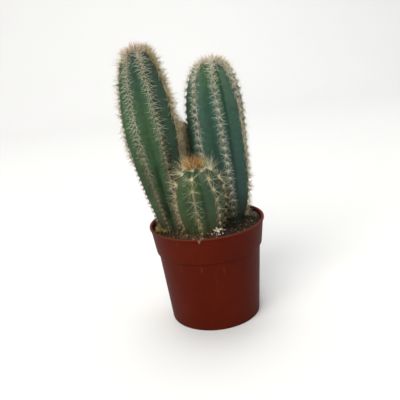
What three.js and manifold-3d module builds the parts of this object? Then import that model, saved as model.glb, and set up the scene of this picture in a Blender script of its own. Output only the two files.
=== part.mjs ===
// A potted blue column cactus, Pilosocereus azureus: three ribbed, spined stems standing in the
// potting mix of a small terracotta-coloured plastic nursery pot.
// Millimetres, +Z up. The origin is the centre of the pot's foot, and the front faces -Y.

import * as THREE from "three";
import { mergeVertices } from "three/addons/utils/BufferGeometryUtils.js";
import Module from "manifold-3d";

const wasm = await Module();
wasm.setup();

// The gap that separate pieces keep where they touch.
const GAP = 0.35;

// The pot: a tapered injection-moulded wall under a wide rim band, with a thin lip. It stands on
// a foot ring and on a pad round its centre, with the drain holes in the raised ring between.
const POT = {
  height: 74,
  lipRadius: 42.5,
  lipHeight: 1.4,
  bandHeight: 19.6,
  bandTopRadius: 41.7,
  bandFootRadius: 39.4,
  wallTopRadius: 38,
  footRadius: 33.5,
  wall: 1.2,
  floorTop: 2.6,
  raisedFloor: 1.4,
  padRadius: 13,
  footRingWidth: 2.6,
  chamfer: 0.4,
  segments: 40,
};
const DRAIN = { count: 6, radius: 3, ring: 21, segments: 8 };

// The potting mix, a little below the rim, with uneven ground and grit on top.
const SOIL = {
  level: 70,
  swell: 0.35,
  segments: 30,
  rings: [1, 0.84, 0.67, 0.5, 0.33, 0.16],
  seed: 11,
};
const GRIT = { count: 34, smallest: 1.1, spread: 1.3, flatness: 0.8, lift: 0.15, clear: 1.2 };

// The stems. foot is where the axis meets the soil, tip is the growing point, and bow pushes the
// middle of the axis sideways. radius is the widest crest radius. It narrows to the share
// narrowing.foot at the soil and rounds off to the tip from dome.from upwards, where heights are
// shares of the stem's length. firstRib is the turn, in degrees, of the rib left of the front at
// soil level, and twist is how far the ribs turn on by the tip. gather draws the ribs together, by
// up to so many degrees each, on the side of the rib round, counted on from the first.
const STEMS = [
  {
    name: "left",
    foot: [-24.3, -2],
    tip: [-36, 9, 199],
    bow: [-2.2, 0.5],
    radius: 18.8,
    narrowing: { foot: 0.45, until: 0.6, power: 1.6 },
    dome: { from: 0.55, power: 1.9, roundness: 2.8 },
    firstRib: -20,
    twist: -16,
    gather: { degrees: 5, round: 0.2 },
    areoleSpacing: 8.6,
    spineLength: 5.2,
    spinesPerAreole: 2,
    crownLength: 5,
    colour: 0x3d6b48,
    crownColour: 0xc9a58c,
    seed: 3,
  },
  {
    name: "right",
    foot: [16, 10],
    tip: [15, 18, 186],
    bow: [0, 0],
    radius: 21.6,
    narrowing: { foot: 0.62, until: 0.45, power: 3 },
    dome: { from: 0.45, power: 3.2, roundness: 2.8 },
    firstRib: -35,
    twist: -17,
    gather: { degrees: 7, round: 0.7 },
    areoleSpacing: 8.6,
    spineLength: 5,
    spinesPerAreole: 2,
    crownLength: 4.5,
    colour: 0x35624c,
    crownColour: 0xe4d6bd,
    seed: 5,
  },
  {
    name: "front",
    foot: [-2.5, -21],
    tip: [-4.3, -25, 119.5],
    bow: [0, 0],
    radius: 17.3,
    narrowing: { foot: 0.7, until: 0.55, power: 2 },
    dome: { from: 0.45, power: 2.6, roundness: 2.5 },
    firstRib: -4,
    twist: -12,
    gather: { degrees: 0, round: 0 },
    areoleSpacing: 8,
    spineLength: 7,
    spinesPerAreole: 3,
    crownLength: 7,
    colour: 0x3f7448,
    crownColour: 0xb8681c,
    seed: 7,
  },
];

// The ribs that all stems share: rounded crests with sharp furrows between them, which are
// shallow at the soil and reach their full depth a little above it.
const RIB = { count: 7, depth: 0.25, depthAtSoil: 0.3, fullFrom: 12, shoulder: 0.42 };

// The areoles, which stand out of the crests. They are crowded at the tip and spread out evenly
// lower down, and the lowest lies a little above the soil.
const AREOLE = { rise: 0.75, first: 0.75, crowded: 0.55, easing: 0.09, lowest: 3 };

// The part of a stem below the soil, tapered to its end, and the plain round hole round it.
const BURIED = { depth: 18, taper: 0.55, rings: [1, 0.75, 0.4], point: 2 };
const SOCKET = { sides: 14, top: 5 };

// The spines: slim three-sided pyramids with sunk roots, which lean away from the areole's normal
// by leans in degrees, and the room that they leave round them.
const SPINE = { radius: 0.3, sides: 3, sunk: 1, leans: [40, 52], lengths: [0.85, 1.15], tries: 6 };
const ROOM = { soil: 3.5, rim: 2, stem: 1.6, nearer: 0.8, crown: 1 };

// The growing point of each stem: a low cushion of wool on the flat top, full of young spines.
const CROWN = {
  share: 0.72,
  height: 1.5,
  sink: 1.1,
  sides: 9,
  outline: [
    [1, 0],
    [0.9, 0.5],
    [0.5, 0.9],
  ],
  spines: 12,
  reach: 0.75,
  spread: 0.75,
  lengths: [0.8, 1.15],
};
const GOLDEN_TURN = Math.PI * (3 - Math.sqrt(5));

// A seeded random number generator (mulberry32), so that every build is the same.
function randomFrom(seed) {
  let state = seed >>> 0;
  return () => {
    state = (state + 0x6d2b79f5) >>> 0;
    let t = Math.imul(state ^ (state >>> 15), 1 | state);
    t = (t + Math.imul(t ^ (t >>> 7), 61 | t)) ^ t;
    return ((t ^ (t >>> 14)) >>> 0) / 4294967296;
  };
}

// A draw between the two ends of a range.
function within([low, high], random) {
  return THREE.MathUtils.lerp(low, high, random());
}

// A closed geometry as a manifold solid, with its vertices merged by position.
function solidOf(geometry) {
  const bare = geometry.clone();
  bare.deleteAttribute("normal");
  bare.deleteAttribute("uv");
  const merged = mergeVertices(bare, 1e-4);
  return new wasm.Manifold(
    new wasm.Mesh({
      numProp: 3,
      vertProperties: merged.attributes.position.array,
      triVerts: new Uint32Array(merged.index.array),
    }),
  );
}

function geometryOf(solid) {
  const mesh = solid.getMesh();
  const geometry = new THREE.BufferGeometry();
  geometry.setAttribute(
    "position",
    new THREE.BufferAttribute(Float32Array.from(mesh.vertProperties), 3),
  );
  geometry.setIndex(
    new THREE.BufferAttribute(Uint32Array.from(mesh.triVerts), 1),
  );
  geometry.computeVertexNormals();
  return geometry;
}

// Joins solids two by two, which stays quick with hundreds of them.
function joined(solids) {
  let round = solids;
  while (round.length > 1) {
    const next = [];
    for (let i = 0; i < round.length; i += 2)
      next.push(i + 1 < round.length ? round[i].add(round[i + 1]) : round[i]);
    round = next;
  }
  return round[0];
}

// A closed skin over rings of equal size, ending in the points bottom and top.
function skin(bottom, rings, top) {
  const size = rings[0].length;
  const points = [bottom, ...rings.flat(), top];
  const last = points.length - 1;
  const at = (ring, i) => 1 + ring * size + (i % size);
  const index = [];
  for (let i = 0; i < size; i++) {
    index.push(0, at(0, i + 1), at(0, i));
    for (let r = 0; r + 1 < rings.length; r++) {
      index.push(at(r, i), at(r, i + 1), at(r + 1, i + 1));
      index.push(at(r, i), at(r + 1, i + 1), at(r + 1, i));
    }
    index.push(at(rings.length - 1, i), at(rings.length - 1, i + 1), last);
  }
  const geometry = new THREE.BufferGeometry().setFromPoints(points);
  geometry.setIndex(index);
  return geometry;
}

function meshOf(name, geometry, color, roughness) {
  const material = new THREE.MeshStandardMaterial({
    color,
    roughness,
    metalness: 0,
  });
  const mesh = new THREE.Mesh(geometry, material);
  mesh.name = name;
  return mesh;
}

// The radius of the pot's inner wall at a height.
function potInside(z) {
  const bandFoot = POT.height - POT.bandHeight;
  if (z >= bandFoot) {
    const share = (z - bandFoot) / POT.bandHeight;
    return (
      THREE.MathUtils.lerp(POT.bandFootRadius, POT.bandTopRadius, share) -
      POT.wall
    );
  }
  const share = z / bandFoot;
  return (
    THREE.MathUtils.lerp(POT.footRadius, POT.wallTopRadius, share) - POT.wall
  );
}

function potMesh() {
  const bandFoot = POT.height - POT.bandHeight;
  const lipFoot = POT.height - POT.lipHeight;
  const ringInside = POT.footRadius - POT.footRingWidth;
  const outline = [
    [0, 0],
    [POT.padRadius, 0],
    [POT.padRadius + POT.raisedFloor, POT.raisedFloor],
    [ringInside - POT.raisedFloor, POT.raisedFloor],
    [ringInside, 0],
    [POT.footRadius - POT.chamfer, 0],
    [POT.footRadius, POT.chamfer],
    [POT.wallTopRadius, bandFoot - POT.chamfer],
    [POT.bandFootRadius, bandFoot],
    [POT.bandTopRadius, lipFoot - POT.chamfer],
    [POT.lipRadius, lipFoot],
    [POT.lipRadius, POT.height - POT.chamfer],
    [POT.lipRadius - POT.chamfer, POT.height],
    [POT.lipRadius - 4 * POT.chamfer, POT.height],
    [potInside(lipFoot), lipFoot],
    [potInside(bandFoot), bandFoot],
    [potInside(bandFoot - POT.wall), bandFoot - POT.wall],
    [
      potInside(POT.floorTop + 2 * POT.chamfer),
      POT.floorTop + 2 * POT.chamfer,
    ],
    [potInside(POT.floorTop) - 2 * POT.chamfer, POT.floorTop],
    [0, POT.floorTop],
  ];
  const shell = new THREE.LatheGeometry(
    outline.map(([r, z]) => new THREE.Vector2(r, z)),
    POT.segments,
  ).rotateX(Math.PI / 2);
  const drains = [];
  for (let i = 0; i < DRAIN.count; i++) {
    const turn = ((i + 0.5) / DRAIN.count) * 2 * Math.PI;
    const drill = new THREE.CylinderGeometry(
      DRAIN.radius,
      DRAIN.radius,
      4 * POT.floorTop,
      DRAIN.segments,
    )
      .rotateX(Math.PI / 2)
      .translate(DRAIN.ring * Math.cos(turn), DRAIN.ring * Math.sin(turn), 0);
    drains.push(solidOf(drill));
  }
  const pot = solidOf(shell).subtract(joined(drains));
  return meshOf("pot", geometryOf(pot), 0x8a3a22, 0.55);
}

// A stem with its axis curve ready: at(s) gives the point, the tangent and the front and side
// directions at s millimetres above the soil, and straight on down below it. beads are spheres
// along the axis that fill the stem, which tell how near a point comes to it.
function growing(stem) {
  const foot = new THREE.Vector3(...stem.foot, SOIL.level);
  const tip = new THREE.Vector3(...stem.tip);
  const middle = foot.clone().lerp(tip, 0.5);
  middle.add(new THREE.Vector3(...stem.bow, 0));
  const curve = new THREE.QuadraticBezierCurve3(foot, middle, tip);
  const length = curve.getLength();
  const at = (s) => {
    const share = THREE.MathUtils.clamp(s / length, 0, 1);
    const tangent = curve.getTangentAt(share);
    const point = curve.getPointAt(share);
    if (s < 0) point.addScaledVector(tangent, s);
    const side = new THREE.Vector3(1, 0, 0);
    side.addScaledVector(tangent, -side.dot(tangent)).normalize();
    const front = side.clone().cross(tangent);
    return { point, tangent, side, front };
  };
  const grown = { ...stem, length, at };
  grown.beads = [];
  for (let s = 0; s <= length; s += 2)
    grown.beads.push({ centre: at(s).point, radius: crestRadius(grown, s) });
  return grown;
}

// The crest radius at s millimetres above the soil.
function crestRadius(stem, s) {
  const share = THREE.MathUtils.clamp(s / stem.length, 0, 1);
  const { narrowing, dome } = stem;
  let radius = stem.radius;
  if (share < narrowing.until) {
    const low = (1 - share / narrowing.until) ** narrowing.power;
    radius *= 1 - (1 - narrowing.foot) * low;
  }
  if (share > dome.from) {
    const high = ((share - dome.from) / (1 - dome.from)) ** dome.power;
    radius *= Math.max(0, 1 - high) ** (1 / dome.roundness);
  }
  if (s < 0) radius *= 1 - BURIED.taper * (s / BURIED.depth) ** 2;
  return radius;
}

function ribTurn(stem, rib, s) {
  const share = THREE.MathUtils.clamp(s / stem.length, 0, 1);
  const beyond = ((rib - stem.gather.round) * 2 * Math.PI) / RIB.count;
  const drawn = stem.gather.degrees * Math.sin(beyond);
  const degrees = stem.firstRib + stem.twist * share + (rib * 360) / RIB.count - drawn;
  return THREE.MathUtils.degToRad(degrees);
}

// The point beside the axis at s, in the direction turn, at that radius.
function beside(stem, s, turn, radius) {
  const { point, side, front } = stem.at(s);
  return point
    .addScaledVector(front, radius * Math.cos(turn))
    .addScaledVector(side, radius * Math.sin(turn));
}

// The heights of the areoles, met on the way down along a crest from the tip.
function areoleHeights(stem) {
  const step = 0.1;
  const heights = [];
  let due = AREOLE.first * stem.areoleSpacing;
  let travelled = 0;
  for (let s = stem.length - step; s > AREOLE.lowest; s -= step) {
    const rise = crestRadius(stem, s) - crestRadius(stem, s + step);
    travelled += Math.hypot(step, rise);
    if (travelled >= due) {
      heights.push(s);
      const share = Math.min(1, AREOLE.crowded + AREOLE.easing * heights.length);
      due = travelled + share * stem.areoleSpacing;
    }
  }
  return heights;
}

// One ring round a stem: round below the soil, and ribbed above it. raised is 1 where the areoles
// stand out of the crests.
function stemRing(stem, s, raised) {
  const crest = crestRadius(stem, s);
  const grown = THREE.MathUtils.smoothstep(s, 0, RIB.fullFrom);
  const share = s < 0 ? 0 : THREE.MathUtils.lerp(RIB.depthAtSoil, 1, grown);
  const depth = share * RIB.depth;
  const ring = [];
  for (let rib = 0; rib < RIB.count; rib++) {
    for (const across of [0, RIB.shoulder, 1, 2 - RIB.shoulder]) {
      const turn = ribTurn(stem, rib + across / 2, s);
      const fromCrest = Math.min(across, 2 - across);
      const height = Math.cos((fromCrest * Math.PI) / 2);
      let radius = crest * (1 - depth * (1 - height));
      if (across === 0) radius += raised * AREOLE.rise;
      ring.push(beside(stem, s, turn, radius));
    }
  }
  return ring;
}

// The ribbed body of a stem, down to its buried base.
function stemBody(stem) {
  const rings = [];
  for (const share of BURIED.rings)
    rings.push(stemRing(stem, -share * BURIED.depth, 0));
  const heights = areoleHeights(stem).reverse();
  rings.push(stemRing(stem, 0, 0));
  heights.forEach((s, i) => {
    const below = i ? heights[i - 1] : 0;
    rings.push(stemRing(stem, (s + below) / 2, 0));
    rings.push(stemRing(stem, s, 1));
  });
  rings.push(stemRing(stem, stem.length - CROWN.sink, 0));
  const bottom = stem.at(-BURIED.depth - BURIED.point).point;
  const top = stem.at(stem.length - CROWN.sink).point;
  return solidOf(skin(bottom, rings, top));
}

// The plain round hole that a stem's base fills in the soil.
function socket(stem) {
  const { sides } = SOCKET;
  const buried = BURIED.rings.map((share) => -share * BURIED.depth);
  const heights = [...buried, 0, SOCKET.top];
  const rings = heights.map((s) => {
    const radius = (crestRadius(stem, s) + GAP) / Math.cos(Math.PI / sides);
    const corners = [...Array(sides).keys()];
    return corners.map((i) =>
      beside(stem, s, (i / sides) * 2 * Math.PI, radius),
    );
  });
  const bottom = stem.at(-BURIED.depth - BURIED.point - 2 * GAP).point;
  const top = stem.at(SOCKET.top).point;
  return solidOf(skin(bottom, rings, top));
}

// How far a point lies outside a stem's crests.
function clearance(stem, point) {
  const gaps = stem.beads.map((bead) => bead.centre.distanceTo(point) - bead.radius);
  return Math.min(...gaps);
}

// The growing point's place on a stem's flat top, and its cushion's radius.
function crownSeat(stem) {
  const s = stem.length - CROWN.sink;
  return { ...stem.at(s), radius: CROWN.share * crestRadius(stem, s) };
}

// How far a point lies outside the cone that the spines of the growing point fill.
function beyondCrown(stem, point) {
  const { point: seat, tangent, radius } = crownSeat(stem);
  const offset = point.clone().sub(seat);
  const height = offset.dot(tangent);
  if (height < 0) return Infinity;
  const across = offset.addScaledVector(tangent, -height).length();
  return across - radius - CROWN.spread * height;
}

// Whether a spine's points stay on its own stem's side of the gaps, and out of its growing point,
// the soil and the pot.
function isClear(stem, others, points) {
  return points.every((point) => {
    if (beyondCrown(stem, point) < ROOM.crown) return false;
    if (point.z < SOIL.level + ROOM.soil) return false;
    const reach = Math.hypot(point.x, point.y) + ROOM.rim;
    if (point.z < POT.height + ROOM.rim && reach > potInside(POT.height))
      return false;
    const own = clearance(stem, point);
    return others.every((other) => {
      const away = clearance(other, point);
      return away > own + ROOM.nearer && away > ROOM.stem;
    });
  });
}

// A slim pyramid from root towards a direction.
function spine(root, direction, length, radius) {
  const up = new THREE.Vector3(0, 1, 0);
  const turn = new THREE.Quaternion().setFromUnitVectors(up, direction);
  const cone = new THREE.ConeGeometry(radius, length, SPINE.sides);
  cone.translate(0, length / 2, 0).applyQuaternion(turn);
  return cone.translate(root.x, root.y, root.z);
}

// The spines of every areole, fanned out by the golden angle and turned on where one would cross a
// neighbour.
function spines(stem, others) {
  const random = randomFrom(stem.seed);
  const made = [];
  let count = 0;
  for (const s of areoleHeights(stem)) {
    for (let rib = 0; rib < RIB.count; rib++) {
      const turn = ribTurn(stem, rib, s);
      const crest = crestRadius(stem, s);
      const root = beside(stem, s, turn, crest);
      const along = beside(stem, s + 1, turn, crestRadius(stem, s + 1));
      along.sub(root).normalize();
      const across = stem.at(s).tangent.clone();
      across.cross(root.clone().sub(stem.at(s).point)).normalize();
      const outward = across.clone().cross(along).normalize();
      for (let i = 0; i < stem.spinesPerAreole; i++) {
        const length = stem.spineLength * within(SPINE.lengths, random);
        const lean = THREE.MathUtils.degToRad(within(SPINE.leans, random));
        count += 1;
        for (let attempt = 0; attempt < SPINE.tries; attempt++) {
          const nudge = (attempt / SPINE.tries) * 2 * Math.PI;
          const fan = count * GOLDEN_TURN + nudge;
          const direction = outward
            .clone()
            .multiplyScalar(Math.cos(lean))
            .addScaledVector(across, Math.sin(lean) * Math.cos(fan))
            .addScaledVector(along, Math.sin(lean) * Math.sin(fan));
          const tip = root.clone().addScaledVector(direction, length);
          const middle = root.clone().lerp(tip, 0.5);
          if (!isClear(stem, others, [middle, tip])) continue;
          const sunk = root.clone().addScaledVector(direction, -SPINE.sunk);
          const whole = length + SPINE.sunk;
          made.push(solidOf(spine(sunk, direction, whole, SPINE.radius)));
          break;
        }
      }
    }
  }
  return made;
}

// The growing point: a low cushion of wool with the youngest spines standing out of it.
function crownMesh(stem) {
  const random = randomFrom(stem.seed + 100);
  const { point, tangent, side, front, radius } = crownSeat(stem);
  const place = (across, turn, height) =>
    point
      .clone()
      .addScaledVector(front, across * Math.cos(turn))
      .addScaledVector(side, across * Math.sin(turn))
      .addScaledVector(tangent, height + GAP);
  const rings = CROWN.outline.map(([across, up]) => {
    const ring = [];
    for (let i = 0; i < CROWN.sides; i++) {
      const turn = (i / CROWN.sides) * 2 * Math.PI;
      ring.push(place(across * radius, turn, up * CROWN.height));
    }
    return ring;
  });
  const cushion = skin(place(0, 0, 0), rings, place(0, 0, CROWN.height));
  const solids = [solidOf(cushion)];
  for (let i = 0; i < CROWN.spines; i++) {
    const share = Math.sqrt((i + 0.5) / CROWN.spines);
    const fan = i * GOLDEN_TURN;
    const lean = share * Math.atan(CROWN.spread);
    const root = place(CROWN.reach * share * radius, fan, GAP);
    const direction = tangent
      .clone()
      .multiplyScalar(Math.cos(lean))
      .addScaledVector(front, Math.sin(lean) * Math.cos(fan))
      .addScaledVector(side, Math.sin(lean) * Math.sin(fan));
    const length = stem.crownLength * within(CROWN.lengths, random);
    solids.push(solidOf(spine(root, direction, length, SPINE.radius)));
  }
  return meshOf(
    "crown_" + stem.name,
    geometryOf(joined(solids)),
    stem.crownColour,
    0.9,
  );
}

function stemMesh(stem, others) {
  const whole = joined([stemBody(stem), ...spines(stem, others)]);
  return meshOf("stem_" + stem.name, geometryOf(whole), stem.colour, 0.6);
}

// The uneven top of the soil.
function soilHeight(x, y) {
  const waves =
    Math.sin(0.31 * x + 1) * Math.cos(0.27 * y) + 0.6 * Math.sin(0.9 * x - y);
  return SOIL.level + SOIL.swell * waves;
}

// One piece of grit, half sunk in the top of the soil within reach of the middle.
function grain(reach, random) {
  const size = GRIT.smallest + GRIT.spread * random() ** 2;
  const away = (reach - size) * Math.sqrt(random());
  const turn = 2 * Math.PI * random();
  const x = away * Math.cos(turn);
  const y = away * Math.sin(turn);
  const stone = new THREE.IcosahedronGeometry(size, 0);
  stone.rotateX(Math.PI * random()).rotateY(Math.PI * random());
  stone.scale(1, within([GRIT.flatness, 1], random), GRIT.flatness);
  const centre = new THREE.Vector3(x, y, soilHeight(x, y) + GRIT.lift * size);
  return { centre, size, solid: solidOf(stone.translate(...centre)) };
}

function soilMesh(stems) {
  const random = randomFrom(SOIL.seed);
  const circle = (radius, height) => {
    const ring = [];
    for (let i = 0; i < SOIL.segments; i++) {
      const turn = (i / SOIL.segments) * 2 * Math.PI;
      const x = radius * Math.cos(turn);
      const y = radius * Math.sin(turn);
      ring.push(new THREE.Vector3(x, y, height ?? soilHeight(x, y)));
    }
    return ring;
  };
  const bottom = POT.floorTop + GAP;
  const bandFoot = POT.height - POT.bandHeight;
  const walls = [
    [bottom, potInside(bottom) - 2 * POT.chamfer - GAP],
    [bottom + 2 * POT.chamfer, potInside(bottom) - GAP],
    [bandFoot - POT.wall, potInside(bandFoot - POT.wall) - GAP],
    [bandFoot + GAP, potInside(bandFoot) - GAP],
  ];
  const rings = walls.map(([z, radius]) => circle(radius, z));
  const edge = potInside(SOIL.level - 2 * SOIL.swell) - GAP;
  for (const share of SOIL.rings) rings.push(circle(share * edge));
  const floor = new THREE.Vector3(0, 0, bottom);
  const middle = new THREE.Vector3(0, 0, soilHeight(0, 0));
  const ground = solidOf(skin(floor, rings, middle));

  const grit = [];
  while (grit.length < GRIT.count) {
    const { centre, size, solid } = grain(edge - GAP, random);
    if (stems.every((stem) => clearance(stem, centre) > size + GRIT.clear))
      grit.push(solid);
  }
  const holes = joined(stems.map(socket));
  const soil = joined([ground, ...grit]).subtract(holes);
  return meshOf("soil", geometryOf(soil), 0x4a3626, 0.95);
}

const stems = STEMS.map(growing);
const plant = new THREE.Group();
for (const stem of stems) {
  const others = stems.filter((other) => other !== stem);
  plant.add(stemMesh(stem, others), crownMesh(stem));
}

const pottedCactus = new THREE.Group();
pottedCactus.add(potMesh(), soilMesh(stems), plant);

export default pottedCactus;
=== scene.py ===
# The looks of a potted blue column cactus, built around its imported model.
# Shapes are worked out in millimetres, in the model's own frame, and become metres in each mesh.

import math
from types import SimpleNamespace as Facts

import bmesh
import bpy
import numpy as np
from mathutils import Matrix, Vector


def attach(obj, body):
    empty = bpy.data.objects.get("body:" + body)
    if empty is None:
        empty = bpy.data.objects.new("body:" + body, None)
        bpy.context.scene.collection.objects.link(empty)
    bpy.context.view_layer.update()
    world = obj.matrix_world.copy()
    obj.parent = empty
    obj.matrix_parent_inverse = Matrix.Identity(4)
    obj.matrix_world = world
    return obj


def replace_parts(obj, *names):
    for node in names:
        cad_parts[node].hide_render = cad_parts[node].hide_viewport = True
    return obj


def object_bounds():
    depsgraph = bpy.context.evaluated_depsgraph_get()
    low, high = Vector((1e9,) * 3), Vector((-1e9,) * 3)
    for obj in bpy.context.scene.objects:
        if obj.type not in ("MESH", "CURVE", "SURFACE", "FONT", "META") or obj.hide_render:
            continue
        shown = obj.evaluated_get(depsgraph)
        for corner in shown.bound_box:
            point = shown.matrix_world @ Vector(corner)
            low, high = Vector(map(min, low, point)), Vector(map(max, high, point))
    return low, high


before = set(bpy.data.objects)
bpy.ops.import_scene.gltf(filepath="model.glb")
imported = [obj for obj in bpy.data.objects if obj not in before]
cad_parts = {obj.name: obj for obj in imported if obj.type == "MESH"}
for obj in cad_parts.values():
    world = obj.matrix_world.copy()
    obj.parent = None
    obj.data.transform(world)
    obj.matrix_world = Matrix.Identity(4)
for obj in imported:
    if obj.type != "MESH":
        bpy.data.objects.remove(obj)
cad_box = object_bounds()

MM = 0.001
TURN = 2 * math.pi
GOLDEN_TURN = math.pi * (3 - math.sqrt(5))
BODY = "root"

# The pot and the soil, as in the model.
POT = Facts(
    height=74, wall=1.2, floor_top=2.6, raised_floor=1.4, pad_radius=13, foot_ring_width=2.6,
    foot_radius=33.5, wall_top_radius=38, band_foot_radius=39.4, band_top_radius=41.7,
    band_height=19.6, lip_radius=42.5, lip_height=1.4, segments=160,
)
DRAIN = Facts(count=6, radius=3, ring=21, segments=32)
SOIL_LEVEL = 70

# The ribs that all stems share: their depth is a share of the crest radius, which shrinks again to
# RIB_DEPTH_AT_SOIL of itself at the soil. Below it a stem is round and tapers to its end.
RIBS = 7
RIB_DEPTH = 0.25
RIB_DEPTH_AT_SOIL = 0.3
RIB_FULL_FROM = 12
BURIED_DEPTH = 18
BURIED_TAPER = 0.55

# The stems, as in the model. The axis runs from foot, at the soil, to tip, and bow pushes its middle
# sideways. radius is the widest crest radius, narrowing its share at the soil, the share of the
# length where it is full and a power, and dome the share where it rounds off, a power and a
# roundness. first_rib and twist turn the ribs, and gather draws them together, by up to so many
# degrees each, on the side of a rib.
#
# first is the first areole's distance from the tip along each rib, and areoles the spacing at each
# distance. rise is how far they stand out. pad is the half width and half length of an areole's
# wool, old_pad the share of that on old areoles, and wool its number of hairs.
#
# Spines have a number to an areole and a length. The sides fan out by up to so many degrees, lean by
# the mean and spread in lean, and sag. shorts point all ways, centrals out and downs down, and
# fringe ends so far from the tip. A tangle is more spines on a rib: the rib, the span of distances
# from the tip, the number, the length and the share worn brown. A bridge is worn spines that reach
# to the next stem: the rib, the span and the number. young_length is the share that young spines
# are longer, old_loss the share that old ones are shorter, and they age over the span wear.
#
# The crown has a woolly cushion of that radius, hairs, and tufts of bristles that stand up to reach
# from the middle. spread tilts the outer ones, sway all of them, and fan scatters them.
STEMS = {
    "left": dict(
        seed=3, foot=(-24.3, -2), tip=(-36, 9, 199), bow=(-2.2, 0.5), radius=18.8,
        narrowing=(0.45, 0.6, 1.6), dome=(0.55, 1.9, 2.8), first_rib=-20, twist=-16, gather=(5, 0.2),
        first=(3.0, 4.2, 3.2, 4.6, 3.4, 4.4, 3.6),
        areoles=((0, 2.2), (18, 2.9), (45, 3.4), (200, 3.8)),
        rise=0.55, pad=(0.55, 0.85), old_pad=0.7, wool=24,
        sides=(3, 6.4, 50), lean=(66, 8), sag=0.18,
        shorts=(5, 1.6), centrals=(1, 4.6), downs=(1, 4.6), fringe=(10, 5.4, 17),
        tangles=(
            (0, 76, 200, 6, 4.6, 0.8), (2, 4, 90, 32, 6.0, 1.0), (2, 90, 200, 2, 5.4, 1.0),
            (6, 4, 84, 7, 5.4, 1.0), (1, 84, 200, 4, 6.4, 1.0),
        ),
        bridges=((2, 62, 88, 90), (3, 62, 88, 80)),
        spine_width=0.22, young_length=0.2, old_loss=0.2, wear=(58, 100),
        crown=Facts(
            cushion=3.6, reach=10.5, hairs=80, tufts=36, per_tuft=7,
            length=7.0, width=0.36, fan=0.26, spread=1.2, sway=0,
        ),
    ),
    "right": dict(
        seed=5, foot=(16, 10), tip=(15, 18, 186), bow=(0, 0), radius=21.6,
        narrowing=(0.62, 0.45, 3), dome=(0.45, 3.2, 2.8), first_rib=-35, twist=-17, gather=(7, 0.7),
        first=(4.8, 6.2, 3.8, 5.2, 3.0, 4.9, 3.4),
        areoles=((0, 2.8), (12, 4.2), (28, 5.4), (200, 5.8)),
        rise=0.6, pad=(0.75, 0.95), old_pad=0.55, wool=40,
        sides=(5, 5.4, 66), lean=(68, 8), sag=0.06,
        shorts=(7, 1.8), centrals=(1, 4.4), downs=(1, 4.6), fringe=(14, 3.8, 30),
        tangles=(
            (6, 6, 50, 6, 4.6, 0.3), (2, 6, 200, 8, 5.4, 0.3), (2, 6, 200, 12, 4.6, 1.0),
            (0, 20, 200, 4, 3.6, 0.7), (1, 20, 200, 4, 3.6, 0.7),
        ),
        bridges=((6, 54, 100, 180), (5, 54, 100, 120)),
        spine_width=0.24, young_length=0.1, old_loss=0.1, wear=(80, 130),
        crown=Facts(
            cushion=4.4, reach=15, hairs=260, tufts=46, per_tuft=7,
            length=6.0, width=0.4, fan=0.3, spread=1.05, sway=0,
        ),
    ),
    "front": dict(
        seed=7, foot=(-2.5, -21), tip=(-4.3, -25, 119.5), bow=(0, 0), radius=17.3,
        narrowing=(0.7, 0.55, 2), dome=(0.45, 2.6, 2.5), first_rib=-4, twist=-12, gather=(0, 0),
        first=(5.2, 7.0, 10.0, 6.4, 8.8, 5.6, 9.5),
        areoles=((0, 6.8), (10, 8.0), (20, 7.6), (28, 6.6), (36, 5.8), (80, 5.6)),
        rise=0.6, pad=(1.15, 1.25), old_pad=0.6, wool=70,
        sides=(4, 7.2, 76), lean=(60, 13), sag=0.03,
        shorts=(3, 2.2), centrals=(3, 6.8), downs=(1, 6.4), fringe=(8, 6.2, 22),
        tangles=(), bridges=(),
        spine_width=0.145, young_length=1.0, old_loss=0.2, wear=(22, 60),
        crown=Facts(
            cushion=3.4, reach=4.6, hairs=170, tufts=90, per_tuft=3,
            length=10.0, width=0.2, fan=0.2, spread=0.9, sway=-0.2,
        ),
    ),
}

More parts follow.
